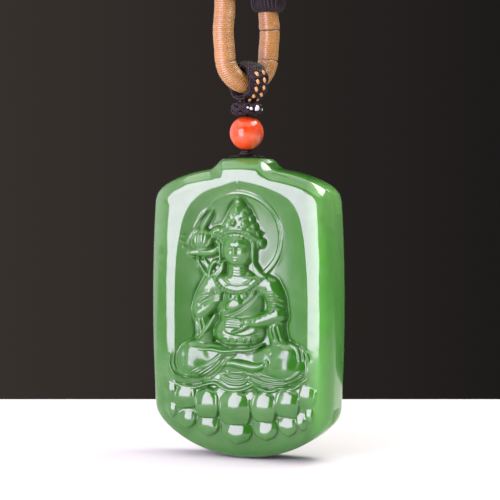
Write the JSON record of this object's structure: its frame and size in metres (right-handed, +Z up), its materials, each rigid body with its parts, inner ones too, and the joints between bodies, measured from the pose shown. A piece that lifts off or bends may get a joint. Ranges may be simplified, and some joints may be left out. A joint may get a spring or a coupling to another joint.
{
  "type": "jade pendant necklace",
  "caption": "Carved green jade plaque with a seated figure on a lotus throne, hung by thread, bead and woven ring from a wrapped cord loop on a braided neck cord.",
  "frame": {"origin": "the underside of the closing sleeve, where the necklace hangs on a peg or a neck", "axes": "+Z up along the hanging necklace, -Y out of the carved face, +X to the right as the carving is seen"},
  "size_m": [0.0518, 0.0152, 0.2997],
  "materials": {
    "jade": "polished, translucent",
    "coral": "polished, slightly translucent",
    "dark_thread": "waxed thread",
    "knot_thread": "woven thread",
    "tan_wrap": "tightly wrapped silky thread",
    "neck_braid": "round braid"
  },
  "bodies": {
    "neck_loop": {"wrapped_loop": "tan_wrap", "end_knot_left": "knot_thread", "end_knot_right": "knot_thread", "neck_cord_left": "neck_braid", "neck_cord_right": "neck_braid", "nape_sleeve": "tan_wrap"},
    "drop": {"jade_plaque": "jade", "bail_thread": "dark_thread", "coral_bead": "coral", "thread_collar": "knot_thread", "ring_knot": "knot_thread"}
  },
  "joints": [
    {"name": "pendant_swing", "type": "hinge", "parent": "neck_loop", "child": "drop", "pos_m": [0, 0, -0.2234], "axis": [0.5408, 0.8412, 0], "range_deg": [-60, 60]}
  ]
}
